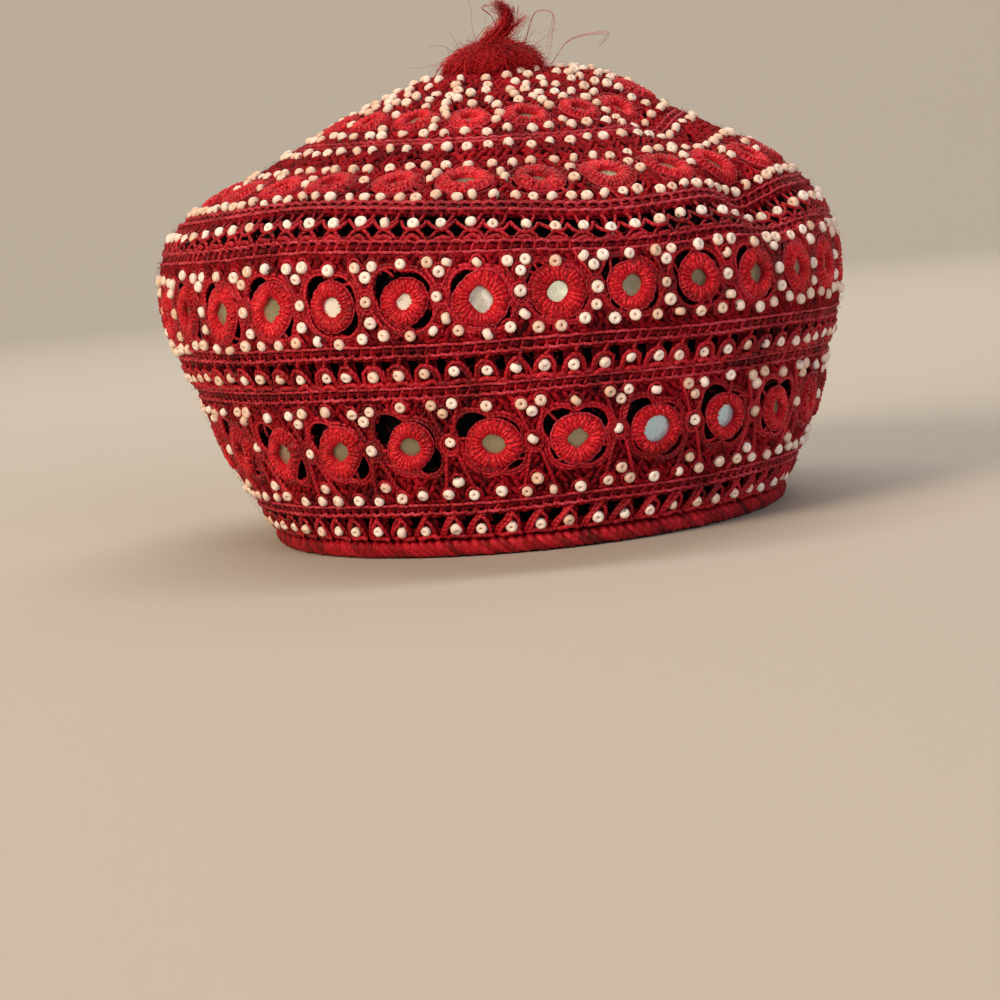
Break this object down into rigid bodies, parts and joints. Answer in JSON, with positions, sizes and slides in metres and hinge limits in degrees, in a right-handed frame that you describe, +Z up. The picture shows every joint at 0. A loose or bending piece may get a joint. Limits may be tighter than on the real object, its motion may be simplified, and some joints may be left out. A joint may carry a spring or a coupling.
{
  "type": "smoking cap",
  "caption": "Round crocheted smoking cap with flared bands of stitched mirrors and seed beads, a low cone crown, a dark lining and a frayed tuft.",
  "frame": {"origin": "centre of the cap's footprint box, on the surface that the rim stands on", "axes": "+Z up through the crown, -Y the front of the cap, the longest way is along Y from front to back, +X the side with the soft dent"},
  "size_m": [0.2136, 0.2254, 0.1618],
  "materials": {
    "crimson_thread": "twisted crochet thread, soft sheen",
    "rim_thread": "thread whipped tightly over a cord",
    "black_lining": "thin plain black cotton, matte",
    "tuft_thread": "loose frayed thread ends",
    "cream_beads": "opaque cream glass seed beads, glossy, added in the visual model",
    "mirror_glass": "thin silvered mirror glass, a little dull, added in the visual model"
  },
  "bodies": {
    "root": {"lining": "black_lining", "rim_cord": "rim_thread", "lower_net": "crimson_thread", "foot_braid": "crimson_thread", "lower_mirror_band": "crimson_thread", "waist_lower_braid": "crimson_thread", "waist_net": "crimson_thread", "waist_upper_braid": "crimson_thread", "upper_mirror_band": "crimson_thread", "shoulder_braid": "crimson_thread", "shoulder_net": "crimson_thread", "edge_braid": "crimson_thread", "crown_mirror_band": "crimson_thread", "crown_bead_band": "crimson_thread", "top_mirror_band": "crimson_thread", "crown_centre": "crimson_thread", "tuft": "tuft_thread"}
  },
  "joints": []
}
